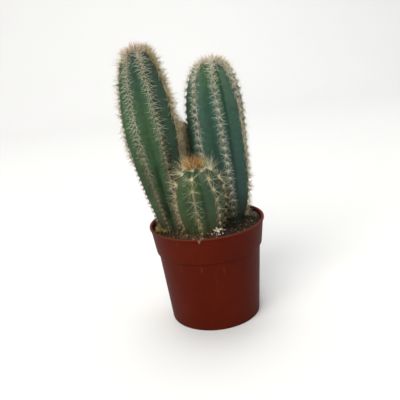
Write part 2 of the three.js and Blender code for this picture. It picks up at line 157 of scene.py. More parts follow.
# The stems' colours. A skin has its greens as (mm above the soil, colour), then the colour of its
# mottling and of the painted shade in its furrows, of the bloom and its share, of warm patches, and
# of the painted shade on the side that faces right.
LOOKS = {
    "left": dict(
        slots=("stem_green", "crown_beige"),
        skin=dict(
            greens=(
                (0, (0.012, 0.024, 0.009)), (45, (0.019, 0.044, 0.014)),
                (85, (0.038, 0.09, 0.034)), (125, (0.02, 0.054, 0.036)),
            ),
            furrow=(0.01, 0.026, 0.01), bloom=(0.07, 0.1, 0.075), bloom_share=0.3,
            flush=(0.034, 0.095, 0.032), painted_shade=(0.01, 0.03, 0.022),
        ),
        spines=dict(
            root=(0.34, 0.28, 0.18), shaft=(0.88, 0.88, 0.7),
            young=(0.52, 0.36, 0.27), young_share=0.9, old_share=0.75,
        ),
        wool=dict(fresh=(0.5, 0.42, 0.32), old=(0.36, 0.29, 0.2)),
        crown=dict(
            wool=(0.42, 0.28, 0.2), root=(0.1, 0.055, 0.04),
            shaft=(0.68, 0.52, 0.42), heart=(0.4, 0.2, 0.13),
        ),
    ),
    "right": dict(
        slots=("stem_blue_green", "crown_cream"),
        skin=dict(
            greens=(
                (0, (0.014, 0.028, 0.02)), (40, (0.02, 0.054, 0.041)),
                (75, (0.024, 0.074, 0.046)), (115, (0.041, 0.103, 0.029)),
            ),
            furrow=(0.01, 0.028, 0.012), bloom=(0.08, 0.12, 0.1), bloom_share=0.28,
            flush=(0.016, 0.06, 0.045), painted_shade=(0.014, 0.05, 0.042),
        ),
        spines=dict(
            root=(0.32, 0.27, 0.18), shaft=(0.88, 0.88, 0.76),
            young=(0.8, 0.62, 0.5), young_share=0.5, old_share=0.2,
        ),
        wool=dict(fresh=(0.7, 0.66, 0.54), old=(0.66, 0.64, 0.55)),
        crown=dict(
            wool=(0.6, 0.53, 0.4), root=(0.14, 0.09, 0.055),
            shaft=(0.78, 0.71, 0.58), heart=(0.62, 0.45, 0.35),
        ),
    ),
    "front": dict(
        slots=("stem_young_green", "crown_orange"),
        skin=dict(
            greens=(
                (0, (0.024, 0.042, 0.008)), (18, (0.023, 0.047, 0.011)),
                (34, (0.018, 0.044, 0.019)), (50, (0.019, 0.045, 0.019)),
            ),
            furrow=(0.014, 0.028, 0.007), bloom=(0.06, 0.1, 0.045), bloom_share=0.12,
            flush=(0.05, 0.09, 0.008), painted_shade=(0.018, 0.044, 0.024),
        ),
        spines=dict(
            root=(0.42, 0.29, 0.13), shaft=(0.82, 0.76, 0.48),
            young=(0.95, 0.9, 0.62), young_share=1.0, old_share=0.75,
        ),
        wool=dict(fresh=(0.88, 0.84, 0.62), old=(0.38, 0.25, 0.12)),
        crown=dict(
            wool=(0.44, 0.29, 0.09), root=(0.2, 0.08, 0.008),
            shaft=(0.46, 0.25, 0.03), heart=(0.31, 0.092, 0.002),
        ),
    ),
}

# The colours that the stems share: the pale line on each crest, the skin under an areole's wool
# and the stain near the soil, which is partly painted shade low on the stems, then worn spines,
# mottled in two browns, and old ones.
CREST_LINE = (0.2, 0.16, 0.09)
UNDER_WOOL = (0.07, 0.1, 0.035)
SOIL_STAIN_AND_LOW_SHADE = (0.034, 0.03, 0.014)
WORN_BROWNS = ((0.17, 0.11, 0.035), (0.62, 0.47, 0.17))
OLD_BROWN = (0.1, 0.05, 0.02)

# The skin: the step between its rings in mm, its columns to a rib, how much closer they stand at
# crests and furrows, its roughness in mm, and the half width and half length of an areole's bump.
SKIN_STEP = 0.85
SKIN_COLUMNS = 26
CLOSER = 0.75
SKIN_ROUGHNESS = 0.12
BUMP = (1.9, 1.7)

# The lowest areole's height in mm, and how far below a tip growth still looks young.
LOWEST_AREOLE = 1.5
YOUTH_REACH = 16

# Spines: how deep a root sits in the skin and how far it strays, also along the rib if the spine is
# worn, how much directions scatter, the shortest length, and how much wider young and worn ones are.
SPINE = Facts(
    sunk=0.4, stray=0.25, worn_stray=2.6, scatter=0.035, shortest=1.5, young_width=0.2, worn_width=0.9
)

# The widest gap in mm between two stems that spines bridge, and the share that they may leave.
WIDEST_BRIDGE = 11
BRIDGE_LEFT_OVER = 0.65

# The widths in mm of the hairs on the areoles and at the tips.
WOOL_WIDTH = 0.15
TIP_WOOL_WIDTH = 0.16

# How far spines stay from other stems, the soil and the rim, and how far they may reach past the
# model's box, all in mm.
CLEAR = Facts(stem=0.2, soil=0.3, rim=0.3)
BOX_MARGIN = 2.2

# Heaps on the soil: their height, their middle (x, y), and the squares of their reach along x and y.
HEAPS = ((5.6, (1, -33), (300, 34)), (1.2, (36, 4), (160, 160)))

# Crumbs on the rim: their x, how far they hang down its outer side, and how many.
RIM_CRUMBS = ((-6.5, 3.0, 5), (-5.5, 0.4, 3), (-11, 0.4, 2))

# The two tones of the paper that the plant stands on.
PAPER = ((0.62, 0.615, 0.61), (0.64, 0.635, 0.63))


# Meshes and shapes

def merged(parts):
    """One shape from several: points, triangles and a dict of per-point values."""
    starts = np.cumsum([0] + [len(points) for points, _, _ in parts])
    points = np.concatenate([part[0] for part in parts])
    triangles = np.concatenate([part[1] + start for part, start in zip(parts, starts)])
    values = {key: np.concatenate([part[2][key] for part in parts]) for key in parts[0][2]}
    return points, triangles, values


def added(name, data):
    """A new object in the scene."""
    made = bpy.data.objects.new(name, data)
    bpy.context.scene.collection.objects.link(made)
    return made


def piece(name, shape, material, slot):
    """A mesh object from (points in mm, triangles, values per point), riding on the part."""
    points, triangles, values = shape
    mesh = bpy.data.meshes.new(name)
    mesh.from_pydata(points * MM, [], triangles, shade_flat=False)
    for key, value in values.items():
        layer = mesh.attributes.new(key, "FLOAT", "POINT")
        layer.data.foreach_set("value", value.astype(np.float32))
    mesh.materials.append(material)
    made = added(name, mesh)
    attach(made, BODY)
    return made


def unit(vectors):
    return vectors / np.linalg.norm(vectors, axis=-1, keepdims=True)


def waves(points, seed, count, shortest, longest):
    """Smooth noise of about -1 to 1: a sum of random plane waves."""
    rng = np.random.default_rng(seed)
    total = np.zeros(len(points))
    for _ in range(count):
        direction = unit(rng.normal(size=points.shape[1]))
        length = shortest * (longest / shortest) ** rng.random()
        total += np.sin(points @ direction * TURN / length + rng.random() * TURN)
    return total / math.sqrt(count)


def skin(rings):
    """A closed skin over rings of points (n, size, 3)."""
    count, size = rings.shape[:2]
    points = np.concatenate([rings.reshape(-1, 3), rings[:1].mean(1), rings[-1:].mean(1)])
    ring = np.arange(count - 1)[:, None] * size
    around = np.arange(size)
    after = (around + 1) % size
    here = ring + around
    beside = ring + after
    walls = np.stack([here, beside, beside + size, here, beside + size, here + size], -1)
    top = (count - 1) * size
    foot_fan = np.stack([np.full(size, count * size), after, around], -1)
    top_fan = np.stack([top + around, top + after, np.full(size, count * size + 1)], -1)
    return points, np.concatenate([walls.reshape(-1, 3), foot_fan, top_fan])


def copies(points, faces, rng):
    """Many bodies with the same faces, from their points (count, size, 3), each in its own tone."""
    count, size = points.shape[:2]
    triangles = np.array(faces) + (np.arange(count) * size)[:, None, None]
    values = {"tone": np.repeat(rng.random(count), size)}
    return points.reshape(-1, 3), triangles.reshape(-1, 3), values


def needles(roots, directions, lengths, widths, bends, sides, steps, rng):
    """Slim tapered needles. bends shifts each tip by a share of its length."""
    count = len(roots)
    helper = np.where(np.abs(directions[:, 2:]) < 0.9, (0, 0, 1), (1, 0, 0))
    first = unit(np.cross(directions, helper))
    second = np.cross(directions, first)
    turns = np.arange(sides)[:, None] / sides * TURN
    around = first[:, None] * np.cos(turns) + second[:, None] * np.sin(turns)
    columns = []
    for step in steps:
        middle = roots + directions * (lengths * step)[:, None]
        middle = middle + bends * (lengths * step ** 2)[:, None]
        reach = widths / 2 * (1 - step) ** 0.7
        columns.append(middle[:, None] + around * reach[:, None, None])
    tips = roots + (directions + bends) * lengths[:, None]
    points = np.concatenate(columns + [tips[:, None]], 1)
    ring = [(i, (i + 1) % sides) for i in range(sides)]
    last = (len(steps) - 1) * sides
    faces = []
    for foot in range(0, last, sides):
        for i, j in ring:
            faces.append((foot + i, foot + j, foot + j + sides))
            faces.append((foot + i, foot + j + sides, foot + i + sides))
    faces += [(last + i, last + j, last + sides) for i, j in ring]
    faces += [(0, i + 1, i) for i in range(1, sides - 1)]
    shape = copies(points, faces, rng)
    shape[2]["along"] = np.tile([*np.repeat(steps, sides), 1.0], count)
    return shape


def marked(shape, **values):
    """A shape whose points also have these values of their own needle or lump."""
    for key, value in values.items():
        shape[2][key] = np.repeat(value, len(shape[0]) // max(1, len(value)))
    return shape


def bowed(count, amount, rng):
    """Random bends for needles."""
    return rng.normal(0, amount, (count, 3))


def ball(subdivisions):
    """The points and triangles of a unit icosphere."""
    shape = bmesh.new()
    bmesh.ops.create_icosphere(shape, subdivisions=subdivisions, radius=1)
    points = np.array([v.co[:] for v in shape.verts])
    triangles = np.array([[v.index for v in f.verts] for f in shape.faces])
    shape.free()
    return points, triangles


def lumps(centres, sizes, frames, roughness, rng):
    """Uneven lumps: sizes (n, 3) along the axes in frames (n, 3, 3)."""
    base, faces = ball(1)
    knobs = unit(rng.normal(size=(len(centres), 4, 3)))
    dents = np.einsum("vk,njk->nvj", base, knobs)
    swell = 1 + roughness * np.sin(3 * dents).mean(2)
    local = base[None] * swell[..., None] * sizes[:, None]
    return copies(centres[:, None] + np.einsum("nvk,nkj->nvj", local, frames), faces, rng)


def turned_frames(count, rng):
    """Random right-handed frames, one row per axis."""
    first = unit(rng.normal(size=(count, 3)))
    second = unit(np.cross(first, rng.normal(size=(count, 3))))
    return np.stack([first, second, np.cross(first, second)], 1)


# Stems

class Stem(Facts):
    """A stem's axis, crest radius and ribs, as in the model, for arrays of heights s in mm."""

    def __init__(self, facts):
        super().__init__(**facts)
        foot = np.array([*self.foot, SOIL_LEVEL], float)
        tip = np.array(self.tip, float)
        middle = (foot + tip) / 2 + (*self.bow, 0)
        share = np.linspace(0, 1, 400)[:, None]
        self.path = (1 - share) ** 2 * foot + 2 * share * (1 - share) * middle + share ** 2 * tip
        steps = np.linalg.norm(np.diff(self.path, axis=0), axis=1)
        self.travel = np.concatenate([[0], np.cumsum(steps)])
        self.length = self.travel[-1]
        self.tangents = unit(np.gradient(self.path, self.travel, axis=0))
        self.places = self._areoles()

    def axis(self, s):
        """The axis at heights s: its points, its tangents and the sideways and front directions."""
        inside = np.clip(s, 0, self.length)
        point = np.stack([np.interp(inside, self.travel, c) for c in self.path.T], -1)
        tangent = unit(np.stack([np.interp(inside, self.travel, c) for c in self.tangents.T], -1))
        point = point + tangent * np.minimum(s, 0)[..., None]
        side = unit(np.array([1.0, 0, 0]) - tangent * tangent[..., :1])
        return point, tangent, side, np.cross(side, tangent)

    def crest(self, s):
        """The crests' distance from the axis."""
        share = np.clip(s / self.length, 0, 1)
        foot_share, until, power = self.narrowing
        low = np.clip(1 - share / until, 0, 1) ** power
        radius = self.radius * (1 - (1 - foot_share) * low)
        start, power, roundness = self.dome
        high = np.clip((share - start) / (1 - start), 0, 1)
        radius = radius * (1 - high ** power) ** (1 / roundness)
        return radius * (1 - BURIED_TAPER * (np.minimum(s, 0) / BURIED_DEPTH) ** 2)

    def turn(self, rib, s):
        """How far round the axis a rib, or a place between ribs, stands."""
        share = np.clip(s / self.length, 0, 1)
        gathered, middle = self.gather
        degrees = self.first_rib + self.twist * share + rib * 360 / RIBS
        degrees = degrees - gathered * np.sin((rib - middle) * TURN / RIBS)
        return np.radians(degrees)

    def beside(self, s, turn, radius):
        """Points at a distance from the axis."""
        point, _, side, front = self.axis(s)
        point = point + front * (radius * np.cos(turn))[..., None]
        return point + side * (radius * np.sin(turn))[..., None]

    def walk(self, step):
        """Heights from the tip down, a step apart along a crest, and the way gone at each."""
        fine = self.length * (1 - np.linspace(0, 1, 4000) ** 2)
        rise = np.diff(self.crest(fine))
        gone = np.concatenate([[0], np.cumsum(np.hypot(np.diff(fine), rise))])
        wanted = np.arange(0, gone[-1], step)
        return np.interp(wanted, gone, fine), wanted

    def _areoles(self):
        """Each areole's rib, its height and its distance from the tip along the crest."""
        rng = np.random.default_rng(self.seed)
        heights, gone = self.walk(0.05)
        marks, spacings = zip(*self.areoles)
        found = []
        for rib in range(RIBS):
            due = self.first[rib]
            while due < gone[-1]:
                s = np.interp(due, gone, heights)
                if s < LOWEST_AREOLE:
                    break
                found.append((rib, s, due))
                due += np.interp(due, marks, spacings) * (0.96 + 0.08 * rng.random())
        return np.array(found)

    def seats(self):
        """Each areole's place on its crest, with its outward, across and along directions."""
        rib, s, _ = self.places.T
        point = self.beside(s, self.turn(rib, s), self.crest(s) + self.rise)
        above, below = (
            self.beside(near, self.turn(rib, near), self.crest(near)) for near in (s + 0.3, s - 0.3)
        )
        along = unit(above - below)
        middle, tangent, _, _ = self.axis(s)
        across = unit(np.cross(tangent, point - middle))
        outward = unit(np.cross(across, along))
        return point, outward, across, along

    def away(self, points):
        """How far each point lies outside the crests, by spheres along the axis."""
        s = np.arange(0, self.length + 1, 2.0)
        centres, radii = self.axis(s)[0], self.crest(s)
        gaps = np.linalg.norm(points[:, None] - centres[None], axis=-1) - radii
        return gaps.min(1)


def youth_at(gone):
    """How young growth is at a distance from the tip, from 1 down to 0."""
    return np.exp(-gone / YOUTH_REACH)


def rib_height(across):
    """How high the skin stands, from 0 in a furrow, where across is 1, to 1 on a crest."""
    across = 1 - np.sqrt((1 - across) ** 2 + 0.012)
    rounded = np.cos(across * math.pi / 2)
    flat = 1 - np.sqrt(across ** 2 + 0.004)
    return 0.6 * rounded + 0.4 * flat


def rib_depth(s, gone):
    """The depth of the furrows, as a share of the crest radius."""
    grown = np.clip(s / RIB_FULL_FROM, 0, 1)
    grown = grown ** 2 * (3 - 2 * grown)
    near_tip = np.clip(gone / 9, 0, 1) ** 0.7
    depth = RIB_DEPTH * (RIB_DEPTH_AT_SOIL + (1 - RIB_DEPTH_AT_SOIL) * grown) * near_tip
    return np.where(s < 0, 0, depth)


def areole_bumps(stem, rib, s, gone, sideways):
    """How much each point of the skin belongs to an areole, from 0 to 1."""
    bumps = np.zeros_like(sideways)
    half_width, half_length = BUMP
    for own_rib, _, own_gone in stem.places:
        on_rib = np.abs((rib - own_rib + RIBS / 2) % RIBS - RIBS / 2) < 0.5
        apart = np.where(s > 0, gone - own_gone, 99)[:, None]
        close = np.exp(-((apart / half_length) ** 2) - (sideways / half_width) ** 2) * on_rib
        bumps = np.maximum(bumps, close)
    return bumps


def stem_shape(stem):
    """The ribbed skin from the buried end to the tip, with its areole bumps."""
    heights, gone = stem.walk(SKIN_STEP)
    above = np.concatenate([heights[1:][::-1], [stem.length - 0.004]])
    gone = np.concatenate([gone[1:][::-1], [0.05]])
    buried = np.array([-BURIED_DEPTH, -0.75 * BURIED_DEPTH, -0.4 * BURIED_DEPTH, -2.0, -0.5])
    s = np.concatenate([buried, above])
    gone = np.concatenate([np.full(len(buried), gone[0]), gone])
    column = np.arange(RIBS * SKIN_COLUMNS) / SKIN_COLUMNS
    rib = column - CLOSER * np.sin(column * 4 * math.pi) / (4 * math.pi)
    nearest = np.abs(rib - np.round(rib)) * 2
    turn = stem.turn(rib[None], s[:, None])
    crest = stem.crest(s)[:, None]
    radius = crest * (1 - rib_depth(s, gone)[:, None] * (1 - rib_height(nearest)))
    areole = areole_bumps(stem, rib, s, gone, nearest * math.pi / RIBS * crest)
    radius = radius + stem.rise * areole * np.clip(gone / 6, 0.2, 1)[:, None]
    level = np.broadcast_to(s[:, None], turn.shape)
    points = stem.beside(level, turn, radius).reshape(-1, 3)
    uneven = waves(points, stem.seed, 14, 6, 30).reshape(turn.shape)
    radius = radius + SKIN_ROUGHNESS * uneven * (s > 1)[:, None]
    skin_points, triangles = skin(stem.beside(level, turn, radius))
    ends = np.zeros(2)
    values = {
        "furrow": np.concatenate([np.broadcast_to(nearest, radius.shape).ravel(), ends]),
        "height": np.concatenate([np.repeat(s, len(column)), [s[0], s[-1]]]),
        "areole": np.concatenate([areole.ravel(), ends]),
        "side": np.concatenate([np.sin(turn).ravel(), ends]),
    }
    return skin_points, triangles, values


def kept_clear(others, *points):
    """Which needles stay out of the other stems and the soil, and near the model's box."""
    low, high = np.array(cad_box) / MM
    keep = np.ones(len(points[0]), bool)
    for spots in points:
        flat = spots[:, :2]
        over_rim = np.linalg.norm(flat, axis=1) > pot_inside(POT.height) - 1
        ground = np.where(over_rim, POT.height + CLEAR.rim, soil_height(flat) + CLEAR.soil)
        keep &= spots[:, 2] > ground
        keep &= np.all((spots > low - BOX_MARGIN) & (spots < high + BOX_MARGIN), axis=1)
        for other in others:
            keep &= other.away(spots) > CLEAR.stem
    return keep


def spine_kinds(stem, rng):
    """Each kind of spine: which areoles have it, its fan, lean and length at each, the share that is
    worn, the sag, and whether it bridges, which makes its length a share of the gap."""
    rib, _, gone = stem.places.T
    count = len(rib)
    everywhere = np.ones(count, bool)
    number, length, widest = stem.sides

    def sideways(i):
        slope = np.radians(widest) * ((i // 2 + 0.5) / number * 2 - 1.2)
        slope = slope + rng.normal(0, 0.08, count)
        return slope if i % 2 else math.pi - slope

    def all_round(i):
        return i * GOLDEN_TURN + rng.random(count)

    def down(_):
        return rng.normal(-math.pi / 2, 0.28, count)

    def any_way(_):
        return rng.random(count) * TURN

    def span(own_rib, start, end):
        return (rib == own_rib) & (gone > start) & (gone < end)

    kinds = [
        (everywhere, (2 * number, length), sideways, stem.lean, (1, 0.12), 0, stem.sag),
        (everywhere, stem.shorts, all_round, (60, 15), (1, 0.25), 0.1, 0),
        (everywhere, stem.centrals, any_way, (36, 13), (1, 0.16), 0, 0),
        (everywhere, stem.downs, down, (74, 7), (0.95, 0.14), 0.2, 0),
        (gone < stem.fringe[2], stem.fringe[:2], any_way, (45, 20), (1, 0.2), 0.2, 0),
    ]
    for *place, each, length, worn in stem.tangles:
        kinds.append((span(*place), (each, length), any_way, (45, 20), (1, 0.2), worn, 0))
    for there, (each, length), fan, lean, variety, worn, sag in kinds:
        for i in range(each):
            fans = fan(i)
            leans = rng.normal(*lean, count)
            yield there, fans, leans, length * rng.normal(*variety, count), worn, sag, False
    for *place, each in stem.bridges:
        for i in range(each):
            fans = any_way(i)
            leans = rng.normal(45, 25, count)
            yield span(*place), fans, leans, rng.uniform(0.6, 1, count), 1, 0, True


def spine_shape(stem, others):
    """All the spines of a stem, fanned out from its areoles."""
    rng = np.random.default_rng(stem.seed + 20)
    point, outward, across, along = stem.seats()
    gone = stem.places[:, 2]
    youth = youth_at(gone)
    worn_from, worn_to = stem.wear
    age = np.clip((gone - worn_from) / (worn_to - worn_from), 0, 1)
    spread = np.clip(0.6 + gone / 30, 0, 1)
    made = []
    for there, fan, lean, length, worn, sag, bridging in spine_kinds(stem, rng):
        lean = np.radians(lean) * spread
        level = across * np.cos(fan)[:, None] + along * np.sin(fan)[:, None]
        direction = outward * np.cos(lean)[:, None] + level * np.sin(lean)[:, None]
        direction = unit(direction + rng.normal(0, SPINE.scatter, direction.shape))
        root = point - outward * SPINE.sunk + rng.normal(0, SPINE.stray, point.shape)
        if worn == 1:
            root += along * rng.uniform(-SPINE.worn_stray, SPINE.worn_stray, (len(point), 1))
        if bridging:
            gap = np.min([other.away(root) for other in others], axis=0)
            length = length * gap
        length = np.clip(length, SPINE.shortest, None) * (1 + stem.young_length * youth)
        if worn < 1:
            length *= 1 - stem.old_loss * age
        bends = bowed(len(point), 0.05, rng) - sag * along
        tip = root + (direction + bends) * length[:, None]
        keep = there & kept_clear(others, tip, (root + tip) / 2)
        if bridging:
            left_over = np.min([other.away(tip) for other in others], axis=0)
            keep &= (gap < WIDEST_BRIDGE) & (left_over < BRIDGE_LEFT_OVER * gap)
        wider = SPINE.young_width * youth + SPINE.worn_width * (worn == 1)
        widths = stem.spine_width * (1 + wider)
        kept = [value[keep] for value in (root, direction, length, widths, bends)]
        shape = needles(*kept, 3, (0, 0.45, 0.85), rng)
        wear = rng.random(keep.sum()) < np.maximum(worn, 0.9 * age[keep])
        wear = wear * rng.uniform(0.55, 1, len(wear))
        made.append(marked(shape, youth=youth[keep], age=age[keep] * (not bridging), worn=wear))
    return merged(made)


def wool_shape(stem):
    """The felted pads of the areoles, each a low lump with short curled hairs."""
    rng = np.random.default_rng(stem.seed + 40)
    point, outward, across, along = stem.seats()
    count = len(point)
    gone = stem.places[:, 2]
    youth = youth_at(gone)
    wide, tall = stem.pad
    size = rng.normal(1, 0.1, count) * np.clip(0.75 + gone / 40, 0, 1)
    size *= stem.old_pad + (1 - stem.old_pad) * np.exp(-((gone / 28) ** 2))
    sizes = np.stack([wide * size, tall * size, 0.6 * size], 1)
    pads = lumps(point - 0.1 * outward, sizes, np.stack([across, along, outward], 1), 0.35, rng)
    made = [marked(pads, youth=youth)]
    for i in range(stem.wool):
        fan = i * GOLDEN_TURN + rng.random(count)
        reach = math.sqrt((i + 0.5) / stem.wool)
        level = across * (np.cos(fan) * wide)[:, None] + along * (np.sin(fan) * tall)[:, None]
        root = point + level * (0.85 * reach * size)[:, None] + outward * 0.5 * (1 - reach ** 2)
        lean = unit(level) * reach * 1.3 + outward
        direction = unit(lean + rng.normal(0, 0.45, lean.shape))
        length = np.clip(rng.normal(1.15, 0.3, count) * size, 0.4, None)
        widths = np.full(count, WOOL_WIDTH)
        hair = needles(root, direction, length, widths, bowed(count, 0.35, rng), 3, (0, 0.5), rng)
        made.append(marked(hair, youth=youth))
    return merged(made)


def crown_shape(stem):
    """The growing point: a woolly cushion and young bristles."""
    crown = stem.crown
    rng = np.random.default_rng(stem.seed + 60)
    heights, _ = stem.walk(0.1)
    heights = heights[: stem.crest(heights).argmax()]
    apex, tangent, side, front = [v[0] for v in stem.axis(np.array([stem.length]))]

    def spots(count, out):
        """Places on the dome: their share of the way out, direction and root."""
        share = np.sqrt((np.arange(count) + 0.5) / count)
        fan = np.arange(count) * GOLDEN_TURN + rng.normal(0, 0.2, count)
        level = front * np.cos(fan)[:, None] + side * np.sin(fan)[:, None]
        drop = stem.length - np.interp(share * out, stem.crest(heights), heights)
        root = apex + level * (share * out)[:, None] - tangent * (drop + 0.5)[:, None]
        return share, level, root

    hairs = crown.hairs
    share, level, root = spots(hairs, crown.reach)
    direction = unit(tangent + level * share[:, None] * 1.1 + rng.normal(0, 0.5, level.shape))
    curls = bowed(hairs, 0.3, rng)
    lengths = rng.normal(1.6, 0.35, hairs)
    wool = needles(root, direction, lengths, np.full(hairs, TIP_WOOL_WIDTH), curls, 3, (0, 0.5), rng)
    wool = marked(wool, bristle=np.zeros(hairs), centre=1 - share)

    tufts, per_tuft = crown.tufts, crown.per_tuft
    bristles = tufts * per_tuft
    found = spots(tufts, crown.reach * 0.85)
    share, level, root = (np.repeat(value, per_tuft, axis=0) for value in found)
    tilt = share[:, None] * crown.spread
    direction = tangent * np.cos(tilt) + level * np.sin(tilt) + side * crown.sway
    direction = unit(direction + rng.normal(0, crown.fan, direction.shape))
    lengths = crown.length * rng.normal(1, 0.2, bristles) * (1.05 - 0.25 * share)
    widths = crown.width * rng.normal(1, 0.1, bristles)
    bends = bowed(bristles, 0.05, rng)
    root = root + rng.normal(0, 0.15, root.shape)
    stiff = needles(root, direction, lengths, widths, bends, 4, (0, 0.4, 0.8), rng)
    stiff = marked(stiff, bristle=np.ones(bristles), centre=1 - share)
    own = np.repeat(rng.random(tufts), len(stiff[0]) // tufts)
    stiff[2]["tone"] = 0.5 * stiff[2]["tone"] + 0.5 * own

    base, faces = ball(2)
    dome = base * (crown.cushion, crown.cushion, 0.9) @ np.stack([front, side, tangent])
    levels = {"along": 0.2, "tone": 0.5, "bristle": 0.0, "centre": 0.5}
    values = {key: np.full(len(base), level) for key, level in levels.items()}
    cushion = (apex - tangent * 0.3 + dome, faces, values)
    return merged([cushion, wool, stiff])


# Materials

class Look:
    """A material in the making: its colour layer by layer, and then its surface."""

    def __init__(self, name):
        self.material = bpy.data.materials.new(name)
        self.material.use_nodes = True
        self.tree = self.material.node_tree
        self.shader = self.tree.nodes["Principled BSDF"]
        self.colour = None

    def plug(self, socket, value):
        """Links another node's output to a socket, or sets a constant or an (r, g, b) on it."""
        if isinstance(value, bpy.types.NodeSocket):
            self.tree.links.new(value, socket)
        else:
            socket.default_value = (*value, 1) if socket.type == "RGBA" else value

    def fill(self, node, inputs):
        for key, value in inputs.items():
            self.plug(node.inputs[key], value)

    def node(self, kind, inputs, **settings):
        made = self.tree.nodes.new(kind)
        for key, value in settings.items():
            setattr(made, key, value)
        self.fill(made, inputs)
        return made

    def place(self):
        return self.node("ShaderNodeTexCoord", {}).outputs["Object"]

    def noise(self, scale, detail=3.0, roughness=0.55, place=None):
        inputs = {"Vector": place or self.place()}
        inputs.update({"Scale": scale, "Detail": detail, "Roughness": roughness})
        return self.node("ShaderNodeTexNoise", inputs).outputs["Fac"]

    def value(self, name):
        """One of the values that a shape gives for each point."""
        return self.node("ShaderNodeAttribute", {}, attribute_name=name).outputs["Fac"]

    def ramp(self, factor, low, high):
        """factor's range from low to high, as 0 to 1."""
        inputs = {"Value": factor, "From Min": low, "From Max": high}
        return self.node("ShaderNodeMapRange", inputs).outputs["Result"]

    def calc(self, operation, first, second):
        return self.node("ShaderNodeMath", {0: first, 1: second}, operation=operation).outputs[0]

    def mix(self, factor, first, second):
        """Between two colours: inputs 6 and 7 and output 2 of the node are those for colours."""
        inputs = {0: factor, 6: first, 7: second}
        return self.node("ShaderNodeMix", inputs, data_type="RGBA").outputs[2]

    def bands(self, stops):
        """A colour by height above the soil, from (mm, colour) stops, with uneven bounds."""
        low, high = stops[0][0], stops[-1][0]
        waver = self.calc("MULTIPLY", self.calc("SUBTRACT", self.noise(45, 3), 0.5), 50)
        height = self.calc("ADD", self.value("height"), waver)
        made = self.node("ShaderNodeValToRGB", {"Fac": self.ramp(height, low, high)})
        points = made.color_ramp.elements
        for i, (mark, colour) in enumerate(stops):
            place = (mark - low) / (high - low)
            point = points[i] if i < 2 else points.new(place)
            point.position = place
            point.color = (*colour, 1)
        return made.outputs["Color"]

    def cover(self, mask, other):
        """Lays another colour over the colour so far, where the mask is bright."""
        self.colour = self.mix(mask, self.colour, other)

    def tint(self, mask, share, other):
        """Lays no more than a share of another colour over the colour so far."""
        self.cover(self.calc("MULTIPLY", mask, share), other)

    def uneven(self, low, high):
        """A roughness that changes from place to place."""
        inputs = {"Value": self.noise(320, 4), "To Min": low, "To Max": high}
        return self.node("ShaderNodeMapRange", inputs).outputs["Result"]

    def done(self, roughness, specular, relief, distance, strength):
        """The material, once it has its surface: the relief is distance mm deep."""
        inputs = {"Height": relief, "Distance": distance * MM, "Strength": strength}
        normal = self.node("ShaderNodeBump", inputs).outputs["Normal"]
        inputs = {"Base Color": self.colour, "Specular IOR Level": specular}
        self.fill(self.shader, {**inputs, "Roughness": roughness, "Normal": normal})
        return self.material


def skin_material(name, greens, furrow, bloom, bloom_share, flush, painted_shade):
    """Waxy skin with patches, bloom, mottling and specks, pale crest lines, and painted shade in
    the furrows and on the side that faces right.
    """
    look = Look(name)
    look.colour = look.bands(greens)
    look.tint(look.ramp(look.noise(55, 3), 0.5, 0.62), 0.45, flush)
    # Painted shade: the side of each stem that faces right is darkened, as if turned away from the
    # light.
    look.tint(look.ramp(look.value("side"), 0.0, 0.9), 0.7, painted_shade)
    across = look.value("furrow")
    dusting = look.ramp(look.noise(110, 5, 0.65), 0.35, 0.75)
    look.tint(look.calc("MULTIPLY", dusting, look.ramp(across, 1.0, 0.3)), bloom_share, bloom)
    look.tint(look.ramp(look.noise(330, 4, 0.6), 0.4, 0.66), 0.45, furrow)
    look.tint(look.ramp(look.noise(1500, 2), 0.56, 0.72), 0.25, bloom)
    # Painted shade: a thin dark line along the bottom of each furrow, where the crease is shaded.
    look.tint(look.calc("POWER", across, 12.0), 0.4, furrow)
    look.tint(look.calc("POWER", look.calc("SUBTRACT", 1.0, across), 14.0), 0.6, CREST_LINE)
    look.tint(look.ramp(look.value("areole"), 0.3, 0.95), 0.5, UNDER_WOOL)
    # Near the soil the stems darken: partly an earth stain and partly painted shade on their lower
    # parts.
    uneven_height = look.calc("ADD", look.value("height"), look.calc("MULTIPLY", look.noise(160), 12))
    look.tint(look.ramp(uneven_height, 30, 6), 0.6, SOIL_STAIN_AND_LOW_SHADE)
    roughness = look.uneven(0.45, 0.65)
    grain = look.calc("ADD", look.noise(900, 3), look.calc("MULTIPLY", look.noise(260, 2), 1.5))
    return look.done(roughness, 0.28, grain, 0.12, 0.5)


def spine_material(name, root, shaft, young, young_share, old_share):
    """Spines: dark at the root, pale along the shaft, brown where worn or old."""
    look = Look(name)
    look.colour = look.mix(look.ramp(look.value("along"), 0.0, 0.3), root, shaft)
    youth = look.calc("MULTIPLY", look.value("youth"), young_share)
    look.cover(look.calc("MULTIPLY", youth, look.ramp(look.noise(150, 2), 0.35, 0.6)), young)
    look.tint(look.ramp(look.value("tone"), 0.4, 1.0), 0.45, root)
    brown = look.mix(look.ramp(look.noise(420, 3), 0.42, 0.58), *WORN_BROWNS)
    look.cover(look.value("worn"), brown)
    look.tint(look.value("age"), old_share, OLD_BROWN)
    look.tint(look.noise(700, 2), 0.2, root)
    return look.done(0.5, 0.4, look.noise(2500, 2), 0.03, 0.4)


def wool_material(name, fresh, old):
    """Felted wool: pale where it is young, greyer and browner lower down."""
    look = Look(name)
    look.colour = look.mix(look.ramp(look.value("youth"), 0.12, 0.5), old, fresh)
    look.tint(look.ramp(look.noise(130, 2), 0.5, 0.65), 0.5, old)
    look.tint(look.ramp(look.noise(900, 4), 0.5, 0.8), 0.4, old)
    look.tint(look.value("tone"), 0.25, fresh)
    look.shader.inputs["Sheen Weight"].default_value = 0.3
    return look.done(0.95, 0.2, look.noise(3500, 3), 0.12, 0.8)


